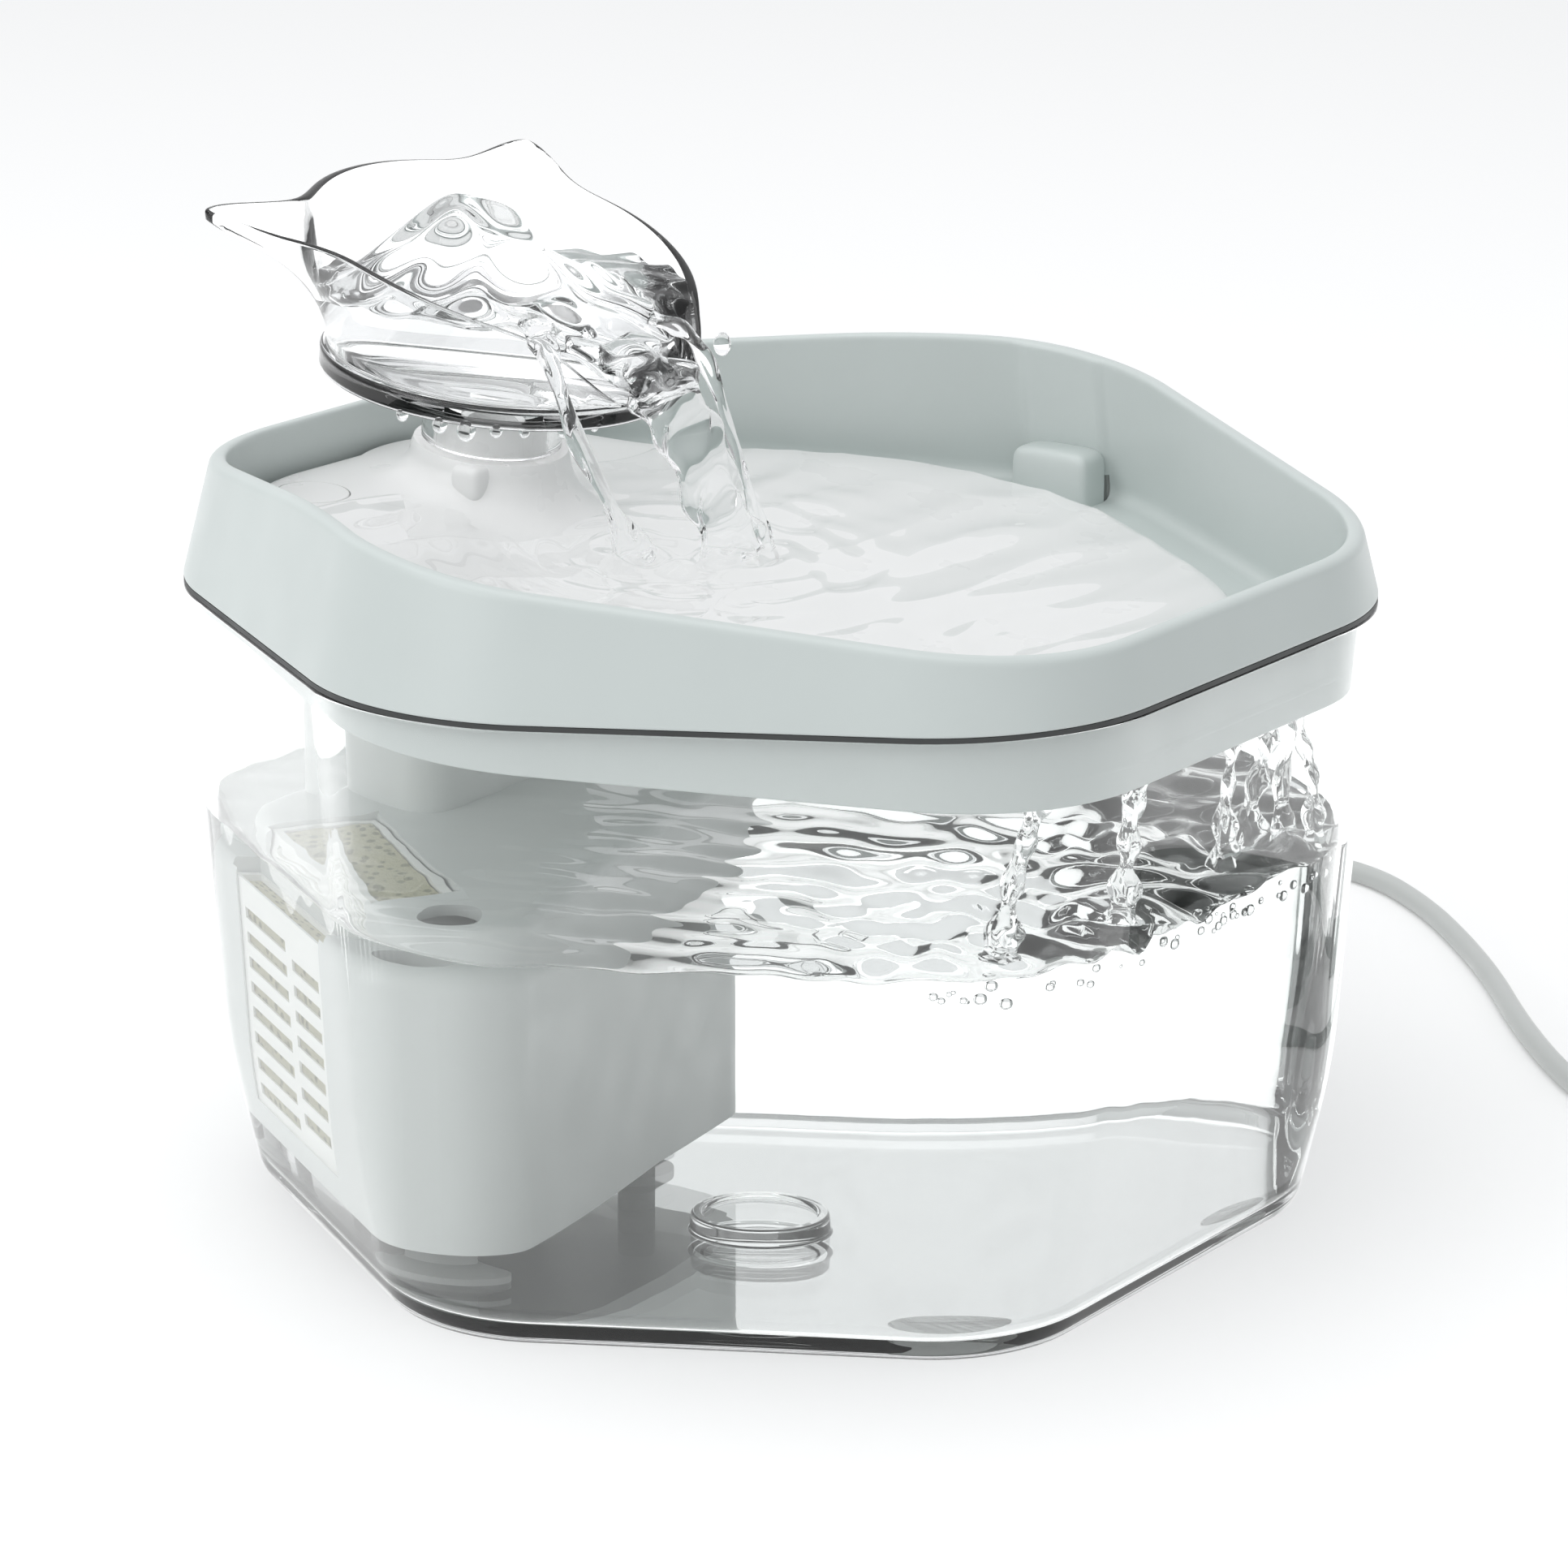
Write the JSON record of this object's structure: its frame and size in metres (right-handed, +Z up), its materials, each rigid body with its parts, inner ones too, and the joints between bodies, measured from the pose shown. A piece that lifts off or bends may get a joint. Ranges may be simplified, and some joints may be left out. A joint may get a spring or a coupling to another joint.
{
  "type": "pet water fountain",
  "caption": "Pet water fountain: clear hexagonal tank, sloping drinking tray, tilted clear pour bowl over it, submerged pump housing with slide-in filter and a USB cord.",
  "frame": {"origin": "on the surface it stands on, under the centre of the hexagonal tank", "axes": "+Z up; the low drinking edge faces -Y and the pour bowl stands towards +Y; the cord leaves at the +X corner"},
  "size_m": [0.3031, 0.2631, 0.1649],
  "materials": {
    "clear_tank": "clear, polished",
    "clear_bowl": "clear, polished",
    "grey_tray": "satin, fine moulded grain",
    "white_deck": "satin white",
    "housing": "satin pale grey",
    "basket": "satin",
    "medium": "open beige fibre and grains",
    "foam": "open-cell foam",
    "pump_case": "matt dark",
    "rotor_plastic": "satin",
    "shaft_steel": "ground",
    "seal_rubber": "matt dark",
    "soft_rubber": "matt translucent grey",
    "cord_jacket": "satin pale grey",
    "plug_grip": "satin pale grey",
    "plug_metal": "bright",
    "plug_tongue": "satin"
  },
  "bodies": {
    "tank": {"water_tank": "clear_tank", "tank_feet": "soft_rubber", "rim_gasket": "seal_rubber", "cord_gland": "soft_rubber", "pump_housing": "housing", "riser_tower": "housing", "housing_base": "housing", "suction_feet": "soft_rubber", "pump_body": "pump_case", "impeller_cover": "pump_case", "rotor_shaft": "shaft_steel", "shaft_bushes": "seal_rubber", "intake_foam": "foam", "riser_tube": "white_deck", "cord_inner": "cord_jacket", "cord_in_gland": "cord_jacket", "cord_free": "cord_jacket", "cord_coil": "cord_jacket", "cord_tail": "cord_jacket", "usb_plug_body": "plug_grip", "usb_plug_shell": "plug_metal", "usb_plug_tongue": "plug_tongue"},
    "tray": {"top_tray": "grey_tray", "drinking_deck": "white_deck", "deck_plug": "white_deck"},
    "seal": {"collar_seal": "soft_rubber"},
    "bowl": {"pour_bowl": "clear_bowl"},
    "filter": {"filter_basket": "basket", "filter_medium": "medium"},
    "rotor": {"impeller": "rotor_plastic"},
    "adjuster": {"flow_adjuster": "rotor_plastic"}
  },
  "joints": [
    {"name": "tray_lift", "type": "slide", "parent": "tank", "child": "tray", "axis": [0, 0, 1], "range_m": [0, 0.15]},
    {"name": "bowl_swivel", "type": "hinge", "parent": "tray", "child": "seal", "pos_m": [0, 0.0588, 0.1324], "axis": [0, -0.1305, 0.9914], "continuous": true},
    {"name": "bowl_lift", "type": "slide", "parent": "seal", "child": "bowl", "axis": [0, -0.1305, 0.9914], "range_m": [0, 0.06]},
    {"name": "filter_lift", "type": "slide", "parent": "tank", "child": "filter", "axis": [0, 0, 1], "range_m": [0, 0.04]},
    {"name": "rotor_spin", "type": "hinge", "parent": "tank", "child": "rotor", "pos_m": [0, 0.0588, 0.03], "axis": [1, 0, 0], "continuous": true},
    {"name": "flow_turn", "type": "hinge", "parent": "tank", "child": "adjuster", "pos_m": [0, 0.0588, 0.03], "axis": [1, 0, 0], "range_deg": [0, 60]}
  ]
}
